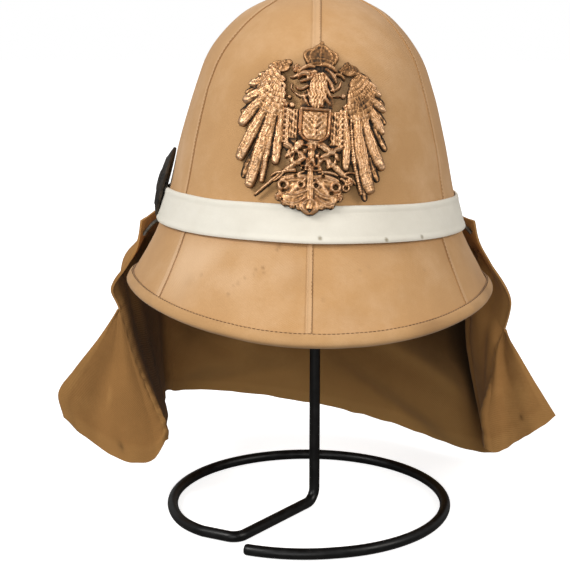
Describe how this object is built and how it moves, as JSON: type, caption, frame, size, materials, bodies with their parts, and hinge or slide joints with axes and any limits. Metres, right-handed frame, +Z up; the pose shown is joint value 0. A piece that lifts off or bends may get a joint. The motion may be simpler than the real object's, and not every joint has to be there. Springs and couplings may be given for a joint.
{
  "type": "pith helmet with a neck curtain on a wire stand",
  "caption": "A khaki sun helmet with a white band, a cast eagle plate, a side cockade and a tan neck curtain, held up on a stand bent from one black rod.",
  "frame": {"origin": "middle of the object's box seen from above, on the flat underside of the stand", "axes": "+Z up out of the stand, -Y out of the helmet's front, +X to the right of someone who faces the front"},
  "size_m": [0.3432, 0.3266, 0.3571],
  "materials": {
    "khaki_cover": "matte twill over cork",
    "khaki_binding": "matte twill",
    "white_band": "smooth folded cotton",
    "curtain_drill": "worn cotton drill",
    "gilt_brass": "worn gilding with dark recesses",
    "dark_cockade": "dark satin",
    "plain_steel": "dull",
    "black_rod": "satin"
  },
  "bodies": {
    "root": {"crown": "khaki_cover", "brim": "khaki_cover", "brim_binding": "khaki_binding", "hat_band": "white_band", "crown_button": "khaki_cover", "eagle_plate": "gilt_brass", "cockade": "dark_cockade", "cockade_stud": "plain_steel", "neck_curtain": "curtain_drill", "curtain_hook_left": "plain_steel", "curtain_hook_right": "plain_steel", "stand_rod": "black_rod", "stand_knob": "black_rod"}
  },
  "joints": []
}
